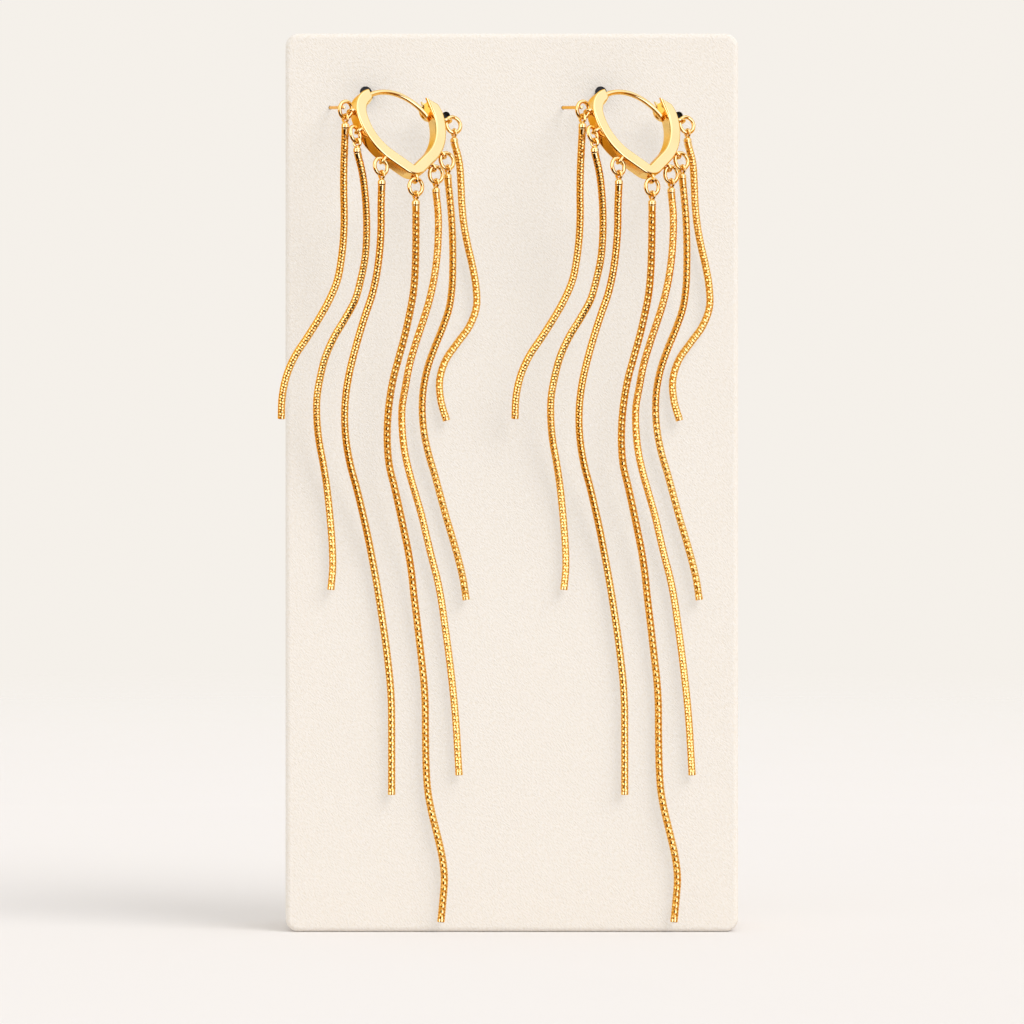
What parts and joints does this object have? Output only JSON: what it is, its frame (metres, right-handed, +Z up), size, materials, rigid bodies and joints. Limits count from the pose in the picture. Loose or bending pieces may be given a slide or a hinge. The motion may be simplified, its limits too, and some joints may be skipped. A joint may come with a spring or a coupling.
{
  "type": "pair of dangle earrings on a display block",
  "caption": "Pair of gold huggie earrings with hinged ear wires and long snake-chain fringes, shown on a plain upright cream display block.",
  "frame": {"origin": "middle of the display block's foot, on the surface it stands on", "axes": "+Z up along the block, -Y out of its face towards the viewer, +X to the viewer's right"},
  "size_m": [0.066, 0.0349, 0.129],
  "materials": {
    "gold": "polished, gold plated",
    "leatherette": "matte, fine slanting grain",
    "black_rubber": "matte"
  },
  "bodies": {
    "root": {"display_block": "leatherette", "left_hoop_frame": "gold", "left_hinge_pin": "gold", "left_ring_1": "gold", "left_ring_2": "gold", "left_ring_3": "gold", "left_ring_4": "gold", "left_ring_5": "gold", "left_ring_6": "gold", "left_ring_7": "gold", "left_cap_1": "gold", "left_cap_2": "gold", "left_cap_3": "gold", "left_cap_4": "gold", "left_cap_5": "gold", "left_cap_6": "gold", "left_cap_7": "gold", "left_chain_1": "gold", "left_chain_2": "gold", "left_chain_3": "gold", "left_chain_4": "gold", "left_chain_5": "gold", "left_chain_6": "gold", "left_chain_7": "gold", "left_hold_peg_a": "black_rubber", "left_hold_peg_b": "black_rubber", "left_hold_pin": "gold", "right_hoop_frame": "gold", "right_hinge_pin": "gold", "right_ring_1": "gold", "right_ring_2": "gold", "right_ring_3": "gold", "right_ring_4": "gold", "right_ring_5": "gold", "right_ring_6": "gold", "right_ring_7": "gold", "right_cap_1": "gold", "right_cap_2": "gold", "right_cap_3": "gold", "right_cap_4": "gold", "right_cap_5": "gold", "right_cap_6": "gold", "right_cap_7": "gold", "right_chain_1": "gold", "right_chain_2": "gold", "right_chain_3": "gold", "right_chain_4": "gold", "right_chain_5": "gold", "right_chain_6": "gold", "right_chain_7": "gold", "right_hold_peg_a": "black_rubber", "right_hold_peg_b": "black_rubber", "right_hold_pin": "gold"},
    "left_ear_wire_body": {"left_ear_wire": "gold"},
    "right_ear_wire_body": {"right_ear_wire": "gold"}
  },
  "joints": [
    {"name": "left_ear_wire_hinge", "type": "hinge", "parent": "root", "child": "left_ear_wire_body", "pos_m": [-0.02078, -0.01941, 0.11886], "axis": [0.5663, -0.73, 0.3827], "range_deg": [0, 60]},
    {"name": "right_ear_wire_hinge", "type": "hinge", "parent": "root", "child": "right_ear_wire_body", "pos_m": [0.01262, -0.01941, 0.11886], "axis": [0.5663, -0.73, 0.3827], "range_deg": [0, 60]}
  ]
}
